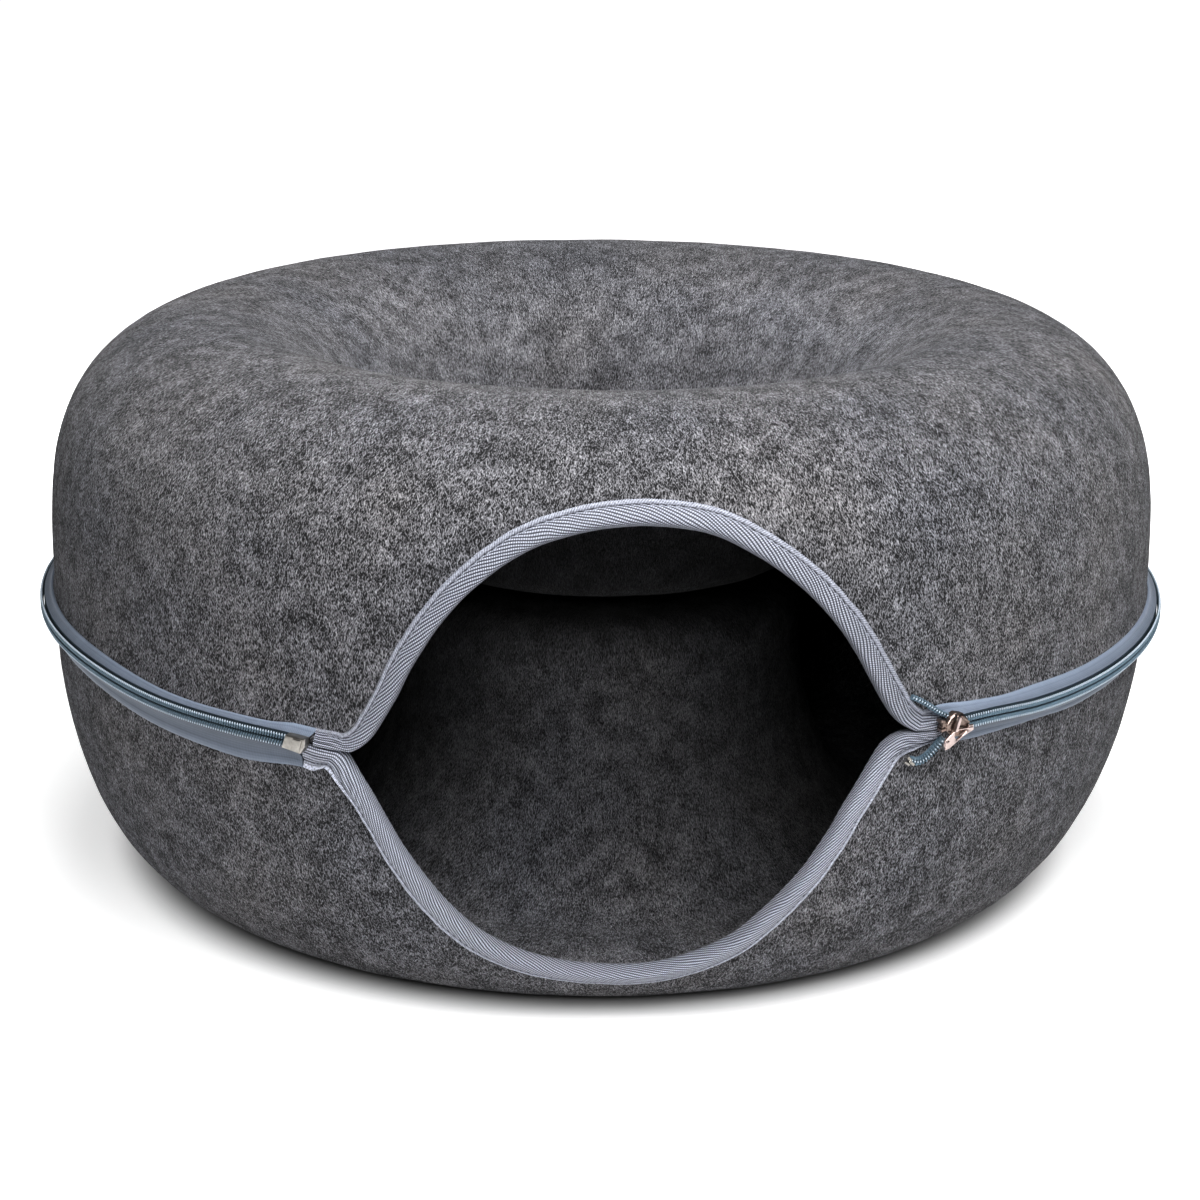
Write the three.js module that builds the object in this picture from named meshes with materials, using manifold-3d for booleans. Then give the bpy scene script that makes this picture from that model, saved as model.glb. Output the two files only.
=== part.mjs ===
// Cat tunnel bed: two pressed felt halves, zipped together round the waist, with a bound mouth.
// Millimetres, +Z up. The bed stands on Z = 0 and its mouth faces -Y. The origin is the middle of
// the footprint's box on the floor.
import * as THREE from 'three';
import Module from 'manifold-3d';
import { mergeVertices } from 'three/addons/utils/BufferGeometryUtils.js';

const wasm = await Module();
wasm.setup();

// Pressed felt
const FELT = 4.5;
const HEIGHT = 285;
const SEAM_Z = 140.4;
const WALL_R = 292;
const CROWN_R = 206;
const NEST_R = 113;
const NEST_FLOOR_Z = 160;
const BASE_OUTER_R = 230.5;
const BASE_INNER_R = 175;
const HUMP_R = 105;
const HUMP_Z = 136.5;
const FELT_CORNER_R = 15.5;
const UPPER_FULLNESS = { rise: 3.88, across: 1.85 };
const LOWER_FULLNESS = { rise: 1.965, across: 1.965 };
const LOWER_LEAN = 0.031;

// The rims stand out a little where the zip is sewn to them.
const RIM_GAP = 1.5;
const RIM_FLARE = 4;
const RIM_FLARE_HEIGHT = 8;
const RIM_FLARE_ANGLES = [24.7, 28.5];

// Mouth: the free edge of each half, as height away from the seam against the angle from -Y.
const MOUTH_ANGLE = 26;
const UPPER_LIP = [
  { angle: 0, height: 105 },
  { angle: 5, height: 101.5 },
  { angle: 10.2, height: 91.5 },
  { angle: 15.3, height: 72.5 },
  { angle: 18, height: 55 },
  { angle: 20.4, height: 33 },
  { angle: 22.3, height: 16.5 },
  { angle: 24.2, height: 4.5 },
  { angle: 26, height: 0 },
];
const LOWER_LIP = [
  { angle: 0, height: 111 },
  { angle: 5.2, height: 107.5 },
  { angle: 8.5, height: 102.5 },
  { angle: 11.7, height: 94.5 },
  { angle: 14.6, height: 82 },
  { angle: 17.1, height: 66 },
  { angle: 19.35, height: 48 },
  { angle: 21.1, height: 30 },
  { angle: 22.6, height: 16 },
  { angle: 24.3, height: 5 },
  { angle: 26, height: 0 },
];
const UPPER_LIP_SHIFT = 0.4;
const LOWER_LIP_SHIFT = -1.7;

// Binding tape, folded over the mouth's edges
const BINDING_THICK = 1;
const BINDING_WIDTH = 10.5;
const BINDING_END_WIDTH = 5.5;
const BINDING_GAP = 0.5;
const BINDING_ENDS = { upper: [-28.2, 27.4], lower: [-29.5, 28.2] };

// Zip
const ZIP_R = 300;
const TAPE_THICK = 1;
const TAPE_GAP = 0.35;
const TAPE_LOW = 3.6;
const TAPE_HIGH = 9.4;
const TAPE_ENDS = { upper: [27.8, 360 - 28.3], lower: [28.6, 360 - 30.3] };
const CHAIN_HALF = 3.1;
const CHAIN_DEEP = 4.3;
const CHAIN_ENDS = [31.27, 360 - 31.27];
const COIL_END_WIDE = 3;
const COIL_END_THICK = 1.6;

// Zip hardware
const STOP_BOX = { angle: -30.2, long: 10.5, tall: 6.6, thick: 3.2 };
const SLIDER = { angle: 30.1, long: 11.5, wide: 8.6, nose: 5, thick: 4.8 };
const BRIDGE = { long: 7.4, wide: 1.8, bar: 1, post: 1.2, clear: 1.8 };
const PULL = { long: 13, head: 6.6, tip: 3, thick: 1.2, tilt: -38, bar: 1.4 };
const STOP_CLIP = { angle: 24.75, height: 14, off: 1.95, long: 3.2, tall: 4.4, thick: 2.6 };
const METAL_GAP = 0.3;

// Mesh steps
const COLUMNS_MOUTH = [
  0, 3, 6, 9, 12, 14.5, 16.5, 18, 19.3, 20.5, 21.5,
  22.3, 23.1, 23.9, 24.7, 25.5, 26.4, 27.4, 28.2, 29.5, 31,
];
const COLUMNS_SIDE = 7;
const COLUMNS_REAR = 9;
const LIP_ROWS = [0, 6.5, 13];

const colours = {
  felt: new THREE.Color(0x4b4b4f),
  binding: new THREE.Color(0x8f95a8),
  tape: new THREE.Color(0x7f93a3),
  coil: new THREE.Color(0x5f7785),
  metal: new THREE.Color(0xb9aea2),
};

function finish(colour, roughness, metalness) {
  return new THREE.MeshStandardMaterial({ color: colours[colour], roughness, metalness });
}

// Profiles run from the seam, along the outside of the felt, to the middle of the bed.
function arc(from, to, steps, point) {
  return Array.from({ length: steps + 1 }, (_, i) => point(from + ((to - from) * i) / steps));
}

function signed(angle) {
  return angle > 180 ? angle - 360 : angle;
}

function flare(height, angle) {
  const zipped = THREE.MathUtils.smoothstep(Math.abs(signed(angle)), ...RIM_FLARE_ANGLES);
  return RIM_FLARE * zipped * Math.max(0, 1 - height / RIM_FLARE_HEIGHT);
}

function wall(endR, endZ, fullness) {
  return arc(0, Math.PI / 2, 160, (turn) => {
    const rise = Math.sin(turn);
    const across = Math.max(0, 1 - rise ** fullness.rise) ** (1 / fullness.across);
    const z = SEAM_Z + (endZ - SEAM_Z) * rise;
    return { r: endR + (WALL_R - endR) * across, z };
  });
}

function upperProfile() {
  const bendZ = NEST_FLOOR_Z + FELT_CORNER_R;
  return [
    ...wall(CROWN_R, HEIGHT, UPPER_FULLNESS),
    ...arc(0, Math.PI / 2, 80, (turn) => ({
      r: CROWN_R - (CROWN_R - NEST_R) * Math.sin(turn),
      z: bendZ + (HEIGHT - bendZ) * Math.cos(turn),
    })).slice(1),
    ...arc(0, Math.PI / 2, 16, (turn) => ({
      r: NEST_R - FELT_CORNER_R * (1 - Math.cos(turn)),
      z: bendZ - FELT_CORNER_R * Math.sin(turn),
    })).slice(1),
    { r: 0, z: NEST_FLOOR_Z },
  ];
}

function lowerProfile() {
  const bendZ = HUMP_Z - FELT_CORNER_R;
  return [
    ...wall(BASE_OUTER_R, 0, LOWER_FULLNESS),
    { r: BASE_INNER_R, z: 0 },
    ...arc(0, Math.PI / 2, 80, (turn) => ({
      r: BASE_INNER_R - (BASE_INNER_R - HUMP_R) * Math.sin(turn),
      z: bendZ * (1 - Math.cos(turn)),
    })).slice(1),
    ...arc(0, Math.PI / 2, 16, (turn) => ({
      r: HUMP_R - FELT_CORNER_R * (1 - Math.cos(turn)),
      z: bendZ + FELT_CORNER_R * Math.sin(turn),
    })).slice(1),
    { r: 0, z: HUMP_Z },
  ];
}

// A half of the bed: its profile by length along the felt, and points on or off its outer face.
class Half {
  constructor(profile, side, lean) {
    this.points = profile;
    this.side = side;
    this.lean = lean;
    this.along = [0];
    for (let i = 1; i < profile.length; i += 1) {
      const step = Math.hypot(profile[i].r - profile[i - 1].r, profile[i].z - profile[i - 1].z);
      this.along.push(this.along[i - 1] + step);
    }
  }

  get length() {
    return this.along[this.along.length - 1];
  }

  reach(test) {
    return this.along[this.points.findIndex(test)];
  }

  atHeight(height) {
    const i = this.points.findIndex((p) => Math.abs(p.z - SEAM_Z) >= height);
    if (i < 1) return 0;
    const before = Math.abs(this.points[i - 1].z - SEAM_Z);
    const after = Math.abs(this.points[i].z - SEAM_Z);
    const part = (height - before) / (after - before);
    return this.along[i - 1] + (this.along[i] - this.along[i - 1]) * part;
  }

  at(length) {
    let i = this.along.findIndex((s) => s > length);
    if (i < 1) i = length <= 0 ? 1 : this.along.length - 1;
    const a = this.points[i - 1];
    const b = this.points[i];
    const step = this.along[i] - this.along[i - 1];
    const part = (length - this.along[i - 1]) / step;
    return {
      r: a.r + (b.r - a.r) * part,
      z: a.z + (b.z - a.z) * part,
      outR: (this.side * (b.z - a.z)) / step,
      outZ: (-this.side * (b.r - a.r)) / step,
    };
  }

  // The outward direction is taken over a short stretch, so that the offset face has no kinks.
  // The rim's flare moves a point out from the bed's axis and leaves that direction as it is.
  point(angle, length, off = 0) {
    const p = this.at(length);
    const lower = this.at(Math.max(0, length - 2));
    const upper = this.at(Math.min(this.length, length + 2));
    const outR = lower.outR + p.outR + upper.outR;
    const outZ = lower.outZ + p.outZ + upper.outZ;
    const size = Math.hypot(outR, outZ);
    const bump = p.r > BASE_OUTER_R ? flare(Math.abs(p.z - SEAM_Z), angle) : 0;
    const r = Math.max(0, p.r + bump + (off * outR) / size);
    const z = p.z + (off * outZ) / size;
    const turn = THREE.MathUtils.degToRad(angle);
    const lean = this.lean * (z - SEAM_Z);
    return new THREE.Vector3(r * Math.sin(turn) + lean, -r * Math.cos(turn), z);
  }
}

const upper = new Half(upperProfile(), 1, 0);
const lower = new Half(lowerProfile(), -1, LOWER_LEAN);

// A smooth curve through a table's rows, level at its first row
function smooth(table, angle) {
  const at = Math.min(Math.abs(angle), table[table.length - 1].angle);
  let i = table.findIndex((row) => row.angle >= at);
  i = Math.max(1, i);
  const a = table[i - 1];
  const b = table[i];
  const slope = (k) => {
    if (k === 0 || k === table.length - 1) return 0;
    const before = table[k - 1];
    const after = table[k + 1];
    return (after.height - before.height) / (after.angle - before.angle);
  };
  const wide = b.angle - a.angle;
  const t = (at - a.angle) / wide;
  const t2 = t * t;
  const t3 = t2 * t;
  return (2 * t3 - 3 * t2 + 1) * a.height + (t3 - 2 * t2 + t) * wide * slope(i - 1)
    + (3 * t2 - 2 * t3) * b.height + (t3 - t2) * wide * slope(i);
}

function lipLength(half, angle) {
  const table = half === upper ? UPPER_LIP : LOWER_LIP;
  const shift = half === upper ? UPPER_LIP_SHIFT : LOWER_LIP_SHIFT;
  const near = Math.min(1, Math.abs(angle) / MOUTH_ANGLE);
  const height = smooth(table, angle - shift * (1 - near ** 8));
  return half.atHeight(Math.max(RIM_GAP, height + RIM_GAP));
}

// Closed bodies
function body(points, triangles) {
  let volume = 0;
  triangles.forEach(([a, b, c]) => {
    volume += points[a].dot(new THREE.Vector3().crossVectors(points[b], points[c]));
  });
  const index = triangles.flatMap(([a, b, c]) => (volume > 0 ? [a, b, c] : [a, c, b]));
  const geometry = new THREE.BufferGeometry().setFromPoints(points);
  geometry.setIndex(index);
  geometry.computeVertexNormals();
  return geometry;
}

function sweep(section, rings) {
  const count = section.length;
  const points = rings.flat();
  const triangles = [];
  for (let i = 0; i + 1 < rings.length; i += 1) {
    for (let k = 0; k < count; k += 1) {
      const a = i * count + k;
      const b = i * count + ((k + 1) % count);
      triangles.push([a, b, b + count], [a, b + count, a + count]);
    }
  }
  const last = (rings.length - 1) * count;
  const outline = section.map(([x, y]) => new THREE.Vector2(x, y));
  THREE.ShapeUtils.triangulateShape(outline, []).forEach(([a, b, c]) => {
    triangles.push([a, c, b], [last + a, last + b, last + c]);
  });
  return body(points, triangles);
}

// Columns of points round the bed, close together at the mouth
function columns() {
  const mouthEnd = COLUMNS_MOUTH[COLUMNS_MOUTH.length - 1];
  const right = [
    ...COLUMNS_MOUTH.slice(1, -1),
    ...steps(mouthEnd, 90, COLUMNS_SIDE),
    ...steps(90, 180, COLUMNS_REAR),
  ];
  const left = [...right].reverse().map((angle) => 360 - angle);
  return [0, ...right, 180, ...left];
}

// The rows of one column: three at the free edge, then even steps to the fixed rows.
function shellRows(half, angle, fixed, between) {
  const lip = lipLength(half, signed(angle));
  const near = LIP_ROWS.map((step) => lip + step);
  const start = near[near.length - 1];
  const middle = steps(start, fixed[0], between + 1).slice(1);
  return [...near, ...middle, ...fixed];
}

function shell(half, fixed, between) {
  const angles = columns();
  const rows = angles.map((angle) => shellRows(half, angle, fixed, between));
  const rowCount = rows[0].length;
  const points = [];
  [0, -FELT].forEach((off) => {
    angles.forEach((angle, i) => {
      rows[i].forEach((length) => points.push(half.point(angle, length, off)));
    });
  });
  const sheet = angles.length * rowCount;
  const poles = [0, -FELT].map((off) => points.push(half.point(0, half.length, off)) - 1);
  poles.forEach((pole) => points[pole].setX(half.lean * (points[pole].z - SEAM_Z)).setY(0));
  const triangles = [];
  angles.forEach((_, i) => {
    const here = i * rowCount;
    const next = ((i + 1) % angles.length) * rowCount;
    for (let k = 0; k + 1 < rowCount; k += 1) {
      triangles.push([here + k, next + k, next + k + 1], [here + k, next + k + 1, here + k + 1]);
      triangles.push([sheet + here + k, sheet + next + k + 1, sheet + next + k]);
      triangles.push([sheet + here + k, sheet + here + k + 1, sheet + next + k + 1]);
    }
    triangles.push([here, sheet + here, sheet + next], [here, sheet + next, next]);
    const last = rowCount - 1;
    triangles.push([here + last, next + last, poles[0]]);
    triangles.push([sheet + here + last, poles[1], sheet + next + last]);
  });
  return body(points, triangles);
}

function steps(from, to, count) {
  return Array.from({ length: count }, (_, i) => from + ((to - from) * i) / count);
}

function upperShell() {
  const shoulder = upper.atHeight((HEIGHT - SEAM_Z) * 0.86);
  const bend = upper.reach((p) => p.z <= NEST_FLOOR_Z + FELT_CORNER_R && p.r <= NEST_R + 0.01);
  const floor = upper.reach((p) => p.r <= NEST_R - FELT_CORNER_R + 0.01);
  const crown = upper.reach((p) => p.z >= HEIGHT);
  const fixed = [
    ...steps(shoulder, crown, 3),
    ...steps(crown, bend, 6),
    ...steps(bend, floor, 3),
    floor,
    floor + 55,
  ];
  return shell(upper, fixed, 4);
}

function lowerShell() {
  const ring = lower.reach((p) => p.z <= 0);
  const hump = lower.reach((p) => p.r <= BASE_INNER_R);
  const bend = lower.reach((p) => p.r <= HUMP_R + 0.01);
  const top = lower.reach((p) => p.r <= HUMP_R - FELT_CORNER_R + 0.01);
  const fixed = [ring, ...steps(hump, bend, 7), ...steps(bend, top, 3), top, top + 50];
  return shell(lower, fixed, 5);
}

// Binding: a folded tape whose section runs over the felt's edge.
function bindingSection(width) {
  const out = BINDING_GAP + BINDING_THICK;
  const inside = -FELT - BINDING_GAP;
  const nose = -BINDING_GAP - BINDING_THICK + 0.2;
  return [
    [width, BINDING_GAP],
    [width, out - 0.2],
    [width * 0.5, out + 0.15],
    [0, out],
    [nose + 0.25, BINDING_GAP * 0.5],
    [nose, -FELT * 0.3],
    [nose, -FELT * 0.7],
    [nose + 0.25, inside + 0.1],
    [0, inside - BINDING_THICK],
    [width * 0.85, inside - BINDING_THICK],
    [width * 0.85, inside],
    [width * 0.4, inside],
    [-BINDING_GAP, inside],
    [-BINDING_GAP, BINDING_GAP],
    [width * 0.5, BINDING_GAP],
  ];
}

function binding(half, ends) {
  const inner = COLUMNS_MOUTH.slice(1).flatMap((angle) => [-angle, angle]).concat(0);
  const angles = [ends[0], ...inner.filter((a) => a > ends[0] + 0.3 && a < ends[1] - 0.3), ends[1]];
  angles.sort((a, b) => a - b);
  const rings = angles.map((angle) => {
    const length = lipLength(half, angle);
    const r = half.at(length).r;
    const mm = THREE.MathUtils.degToRad(1) * r;
    const slope = (lipLength(half, angle + 0.4) - lipLength(half, angle - 0.4)) / (0.8 * mm);
    const size = Math.hypot(slope, 1);
    const narrow = THREE.MathUtils.smoothstep(Math.abs(angle), MOUTH_ANGLE - 3, BINDING_ENDS.lower[1]);
    const width = BINDING_WIDTH + (BINDING_END_WIDTH - BINDING_WIDTH) * narrow;
    return bindingSection(width).map(([into, off]) => {
      const side = (-into * slope) / size / mm;
      return half.point(angle + side, length + into / size, off);
    });
  });
  return sweep(bindingSection(BINDING_WIDTH), rings);
}

// Zip tapes and chain run round the back, from one side of the mouth to the other.
function zipAngles(ends) {
  const inner = columns().filter((angle) => angle > ends[0] + 0.3 && angle < ends[1] - 0.3);
  return [ends[0], ...inner, ends[1]];
}

function zipTape(half, ends) {
  const middle = RIM_FLARE_HEIGHT + 0.4;
  const section = [
    [TAPE_LOW, TAPE_GAP],
    [middle, TAPE_GAP],
    [TAPE_HIGH, TAPE_GAP],
    [TAPE_HIGH, TAPE_GAP + TAPE_THICK * 0.8],
    [middle, TAPE_GAP + TAPE_THICK * 1.2],
    [TAPE_LOW, TAPE_GAP + TAPE_THICK],
  ];
  const rings = zipAngles(ends).map((angle) => (
    section.map(([along, off]) => half.point(angle, along, off))
  ));
  return sweep(section, rings);
}

function zipChain() {
  const section = [
    [ZIP_R - CHAIN_DEEP, -CHAIN_HALF * 0.45],
    [ZIP_R - CHAIN_DEEP * 0.6, -CHAIN_HALF],
    [ZIP_R - 0.9, -CHAIN_HALF],
    [ZIP_R, -CHAIN_HALF * 0.6],
    [ZIP_R, CHAIN_HALF * 0.6],
    [ZIP_R - 0.9, CHAIN_HALF],
    [ZIP_R - CHAIN_DEEP * 0.6, CHAIN_HALF],
    [ZIP_R - CHAIN_DEEP, CHAIN_HALF * 0.45],
  ];
  const rings = zipAngles(CHAIN_ENDS).map((angle) => {
    const turn = THREE.MathUtils.degToRad(angle);
    return section.map(([r, z]) => (
      new THREE.Vector3(r * Math.sin(turn), -r * Math.cos(turn), SEAM_Z + z)
    ));
  });
  return sweep(section, rings);
}

// The free coil ends past the slider: route rows give the angle, the height off the seam and the
// distance off the felt's outer face.
const UPPER_COIL_END = [
  { angle: 28.15, height: 4.9, off: 3.4 },
  { angle: 27.4, height: 7.2, off: 3.6 },
  { angle: 26.6, height: 10.4, off: 2.9 },
  { angle: 25.9, height: 13.6, off: 2.7 },
  { angle: 25.2, height: 17.4, off: 2.6 },
];
const LOWER_COIL_END = [
  { angle: 28.2, height: 5.4, off: 3.6 },
  { angle: 27.7, height: 8.6, off: 3.9 },
  { angle: 27.1, height: 12.2, off: 3.4 },
  { angle: 26.3, height: 14.6, off: 3.1 },
  { angle: 25.6, height: 14.2, off: 3.2 },
];

function coilEnd(half, route) {
  const stops = route.map((row) => half.point(row.angle, half.atHeight(row.height), row.off));
  const curve = new THREE.CatmullRomCurve3(stops);
  const section = [
    [-COIL_END_WIDE / 2, -COIL_END_THICK / 4],
    [-COIL_END_WIDE / 4, -COIL_END_THICK / 2],
    [COIL_END_WIDE / 4, -COIL_END_THICK / 2],
    [COIL_END_WIDE / 2, -COIL_END_THICK / 4],
    [COIL_END_WIDE / 2, COIL_END_THICK / 4],
    [COIL_END_WIDE / 4, COIL_END_THICK / 2],
    [-COIL_END_WIDE / 4, COIL_END_THICK / 2],
    [-COIL_END_WIDE / 2, COIL_END_THICK / 4],
  ];
  const count = 14;
  const rings = steps(0, 1 + 1 / count, count + 1).map((t) => {
    const at = curve.getPoint(Math.min(1, t));
    const ahead = curve.getTangent(Math.min(1, t));
    const out = new THREE.Vector3(at.x, at.y, 0).normalize();
    const side = new THREE.Vector3().crossVectors(ahead, out).normalize();
    const face = new THREE.Vector3().crossVectors(side, ahead).normalize();
    return section.map(([x, y]) => at.clone().addScaledVector(side, x).addScaledVector(face, y));
  });
  return sweep(section, rings);
}

// Hardware is drawn in its own frame: X along the zip, Z up, -Y away from the bed.
function plate(outline, back, front, hole) {
  const shape = new THREE.Shape(outline.map(([x, z]) => new THREE.Vector2(x, z)));
  if (hole) shape.holes.push(new THREE.Path(hole.map(([x, z]) => new THREE.Vector2(x, z))));
  const geometry = new THREE.ExtrudeGeometry(shape, { depth: front - back, bevelEnabled: false });
  return geometry.rotateX(Math.PI / 2).translate(0, -back, 0);
}

function solid(geometry) {
  geometry.deleteAttribute('normal');
  geometry.deleteAttribute('uv');
  const merged = mergeVertices(geometry, 1e-4);
  return new wasm.Manifold(new wasm.Mesh({
    numProp: 3,
    vertProperties: new Float32Array(merged.attributes.position.array),
    triVerts: new Uint32Array(merged.index.array),
  }));
}

function geometryOf(manifold) {
  const mesh = manifold.getMesh();
  const geometry = new THREE.BufferGeometry();
  geometry.setAttribute('position', new THREE.BufferAttribute(new Float32Array(mesh.vertProperties), 3));
  geometry.setIndex(new THREE.BufferAttribute(new Uint32Array(mesh.triVerts), 1));
  geometry.computeVertexNormals();
  return geometry;
}

function sliderBody() {
  const { long, wide, nose, thick } = SLIDER;
  const outline = [
    [-long / 2, -nose / 2],
    [-long * 0.25, -wide / 2],
    [long * 0.2, -wide / 2],
    [long / 2, -wide * 0.36],
    [long / 2, wide * 0.36],
    [long * 0.2, wide / 2],
    [-long * 0.25, wide / 2],
    [-long / 2, nose / 2],
  ];
  const tilt = THREE.MathUtils.degToRad(PULL.tilt);
  const across = (x0, x1, back, front) => plate(
    [[x0, -BRIDGE.wide / 2], [x1, -BRIDGE.wide / 2], [x1, BRIDGE.wide / 2], [x0, BRIDGE.wide / 2]],
    back,
    front,
  ).rotateY(Math.PI / 2 - tilt);
  const half = BRIDGE.long / 2;
  const top = thick + BRIDGE.clear;
  return geometryOf(
    solid(plate(outline, 0, thick))
      .add(solid(across(-half, -half + BRIDGE.post, thick - 1, top + BRIDGE.bar)))
      .add(solid(across(half - BRIDGE.post, half, thick - 1, top + BRIDGE.bar)))
      .add(solid(across(-half, half, top, top + BRIDGE.bar))),
  );
}

function pullTab() {
  const { long, head, tip, thick, bar } = PULL;
  const outline = [
    [-head / 2, bar * 0.6],
    [head / 2, bar * 0.6],
    [tip / 2, -long + 1],
    [tip / 4, -long],
    [-tip / 4, -long],
    [-tip / 2, -long + 1],
  ];
  const window = [
    [-head / 2 + 1.5, -bar * 0.6],
    [-0.95, -long * 0.45],
    [0.95, -long * 0.45],
    [head / 2 - 1.5, -bar * 0.6],
  ];
  return plate(outline, 0, thick, window);
}

function box(long, tall, thick) {
  const cut = 0.6;
  return plate([
    [-long / 2, -tall / 2 + cut],
    [-long / 2 + cut, -tall / 2],
    [long / 2 - cut, -tall / 2],
    [long / 2, -tall / 2 + cut],
    [long / 2, tall / 2 - cut],
    [long / 2 - cut, tall / 2],
    [-long / 2 + cut, tall / 2],
    [-long / 2, tall / 2 - cut],
  ], 0, thick);
}

// A group on the zip line, turned so that its -Y points away from the bed
function station(angle, radius, height = 0) {
  const turn = THREE.MathUtils.degToRad(angle);
  const group = new THREE.Group();
  group.position.set(radius * Math.sin(turn), -radius * Math.cos(turn), SEAM_Z + height);
  group.rotation.z = turn;
  return group;
}

const bed = new THREE.Group();

function add(name, geometry, material, parent = bed) {
  const mesh = new THREE.Mesh(geometry, material);
  mesh.name = name;
  parent.add(mesh);
  return mesh;
}

const felt = finish('felt', 0.95, 0);
add('upper_shell', upperShell(), felt);
add('lower_shell', lowerShell(), felt.clone());

add('binding_upper', binding(upper, BINDING_ENDS.upper), finish('binding', 0.75, 0));
add('binding_lower', binding(lower, BINDING_ENDS.lower), finish('binding', 0.75, 0));

add('zip_tape_upper', zipTape(upper, TAPE_ENDS.upper), finish('tape', 0.6, 0));
add('zip_tape_lower', zipTape(lower, TAPE_ENDS.lower), finish('tape', 0.6, 0));
add('zip_chain', zipChain(), finish('coil', 0.45, 0));
add('zip_end_upper', coilEnd(upper, UPPER_COIL_END), finish('coil', 0.45, 0));
add('zip_end_lower', coilEnd(lower, LOWER_COIL_END), finish('coil', 0.45, 0));

const stop = station(STOP_BOX.angle, WALL_R + RIM_FLARE + BINDING_THICK + 0.2);
add('zip_stop_box', box(STOP_BOX.long, STOP_BOX.tall, STOP_BOX.thick), finish('metal', 0.3, 1), stop);
bed.add(stop);

const clip = station(STOP_CLIP.angle, 0);
clip.position.copy(lower.point(STOP_CLIP.angle, lower.atHeight(STOP_CLIP.height), STOP_CLIP.off));
add('zip_stop_clip', box(STOP_CLIP.long, STOP_CLIP.tall, STOP_CLIP.thick), finish('metal', 0.3, 1), clip);
bed.add(clip);

const slider = station(SLIDER.angle, WALL_R + RIM_FLARE);
add('zip_slider', sliderBody(), finish('metal', 0.25, 1), slider);
const pull = add('zip_pull', pullTab(), finish('metal', 0.25, 1), slider);
pull.position.y = -(SLIDER.thick + METAL_GAP);
pull.rotation.y = THREE.MathUtils.degToRad(-PULL.tilt);
bed.add(slider);

// The origin is the middle of the footprint's box, on the floor.
bed.updateMatrixWorld(true);
const extent = new THREE.Box3().setFromObject(bed);
const middle = extent.getCenter(new THREE.Vector3());
bed.position.set(-middle.x, -middle.y, -extent.min.z);

export default bed;
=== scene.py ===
# Cat tunnel bed: two pressed felt halves zipped together, with a bound mouth. Metres, +Z up.
import math
from itertools import accumulate

import bpy
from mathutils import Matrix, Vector, noise


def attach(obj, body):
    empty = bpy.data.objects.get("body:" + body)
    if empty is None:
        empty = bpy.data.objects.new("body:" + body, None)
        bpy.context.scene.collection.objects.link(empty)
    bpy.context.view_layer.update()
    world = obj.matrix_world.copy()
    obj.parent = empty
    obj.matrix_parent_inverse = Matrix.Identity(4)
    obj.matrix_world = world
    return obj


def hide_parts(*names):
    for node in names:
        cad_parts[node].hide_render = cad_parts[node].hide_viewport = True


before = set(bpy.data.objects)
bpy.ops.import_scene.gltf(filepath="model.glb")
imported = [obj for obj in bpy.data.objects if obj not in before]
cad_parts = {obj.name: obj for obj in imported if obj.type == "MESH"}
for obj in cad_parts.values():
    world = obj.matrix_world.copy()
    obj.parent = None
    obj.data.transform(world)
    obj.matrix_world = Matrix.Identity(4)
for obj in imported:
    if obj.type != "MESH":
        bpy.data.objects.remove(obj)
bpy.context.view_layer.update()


# Camera: it looks a little down at the mouth, from 1.39 m off the bed's axis, and is held with a
# slight roll. Its azimuth is off centre because the mouth isn't turned squarely to it.
AXIS_Y = -0.0096
camera_azimuth = math.radians(-2.7)
camera_height = math.radians(16.85)
camera_distance = 1.3859
camera_roll = math.radians(0.495)
aim = Vector((0, AXIS_Y, 0.1425))
bpy.ops.object.camera_add()
camera = bpy.context.object
camera.name = "camera"
sight = Vector((
    math.sin(camera_azimuth) * math.cos(camera_height),
    -math.cos(camera_azimuth) * math.cos(camera_height),
    math.sin(camera_height),
))
camera.location = aim + camera_distance * sight
camera.rotation_euler = sight.to_track_quat("Z", "Y").to_euler()
camera.rotation_euler.rotate_axis("Z", camera_roll)
camera.data.lens = 76.02
camera.data.sensor_width = 36
camera.data.shift_x = -0.0007
camera.data.shift_y = -0.0303
bpy.context.scene.camera = camera


# Materials: a socket takes part in plain sums, and every other node comes from Finish.node.
class Socket:
    def __init__(self, finish, socket):
        self.finish = finish
        self.socket = socket

    def sum(self, operation, *values):
        return self.finish.node("ShaderNodeMath", {"operation": operation}, values)

    def __add__(self, other):
        return self.sum("ADD", self, other)

    def __radd__(self, other):
        return self.sum("ADD", other, self)

    def __sub__(self, other):
        return self.sum("SUBTRACT", self, other)

    def __rsub__(self, other):
        return self.sum("SUBTRACT", other, self)

    def __mul__(self, other):
        return self.sum("MULTIPLY", self, other)

    def __rmul__(self, other):
        return self.sum("MULTIPLY", other, self)

    def __pow__(self, other):
        return self.sum("POWER", self, other)


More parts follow.
